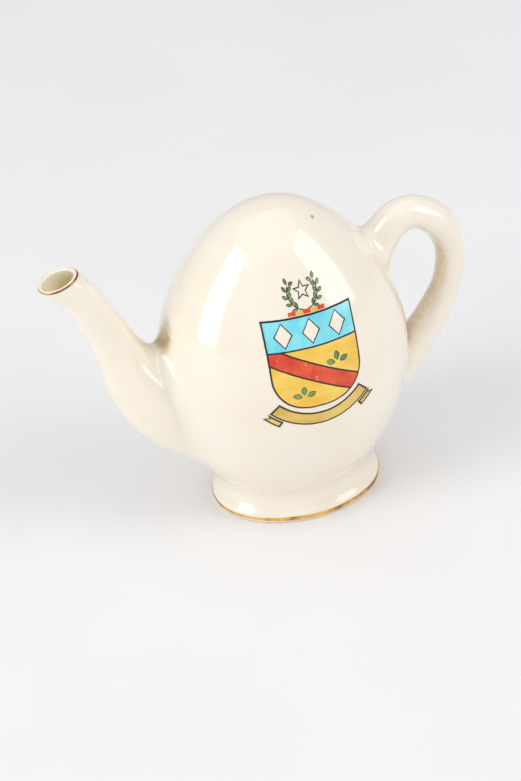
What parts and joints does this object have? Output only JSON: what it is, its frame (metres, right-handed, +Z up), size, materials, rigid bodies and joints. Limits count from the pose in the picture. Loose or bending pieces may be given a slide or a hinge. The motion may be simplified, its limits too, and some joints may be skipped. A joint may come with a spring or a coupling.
{
  "type": "souvenir teapot",
  "caption": "Miniature lidless glazed teapot: oval egg body on a flared foot, swan-neck spout, loop handle, gilt lines and a painted shield badge with a blank ribbon.",
  "frame": {"origin": "middle of the foot, on the surface that the pot rests on", "axes": "+Z up through the crown, spout to -X, handle to +X, badge facing -Y"},
  "size_m": [0.082, 0.0401, 0.062],
  "materials": {
    "ivory_glaze": "glossy ivory lead glaze",
    "bare_biscuit": "fired biscuit under a thin wipe of glaze",
    "inner_glaze": "thin yellowish inner glaze",
    "gilding": "burnished fired gilding, worn",
    "black_print": "black transfer print fired on the glaze",
    "turquoise_enamel": "glossy hand-filled enamel",
    "yellow_enamel": "glossy hand-filled enamel",
    "red_enamel": "glossy hand-filled enamel",
    "green_enamel": "glossy hand-filled enamel",
    "ribbon_enamel": "thin hand-filled enamel"
  },
  "bodies": {
    "root": {"body_shell": "ivory_glaze", "foot_ring": "ivory_glaze", "base_plate": "bare_biscuit", "filling_tube": "inner_glaze", "spout": "ivory_glaze", "spout_slip": "ivory_glaze", "handle": "ivory_glaze", "handle_slip_upper": "ivory_glaze", "handle_slip_lower": "ivory_glaze", "gilt_foot_line": "gilding", "gilt_lip_line": "gilding", "badge_outline": "black_print", "crest_outline": "black_print", "ribbon_outline": "black_print", "badge_turquoise": "turquoise_enamel", "badge_yellow": "yellow_enamel", "badge_red": "red_enamel", "badge_green": "green_enamel", "badge_ribbon": "ribbon_enamel"}
  },
  "joints": []
}
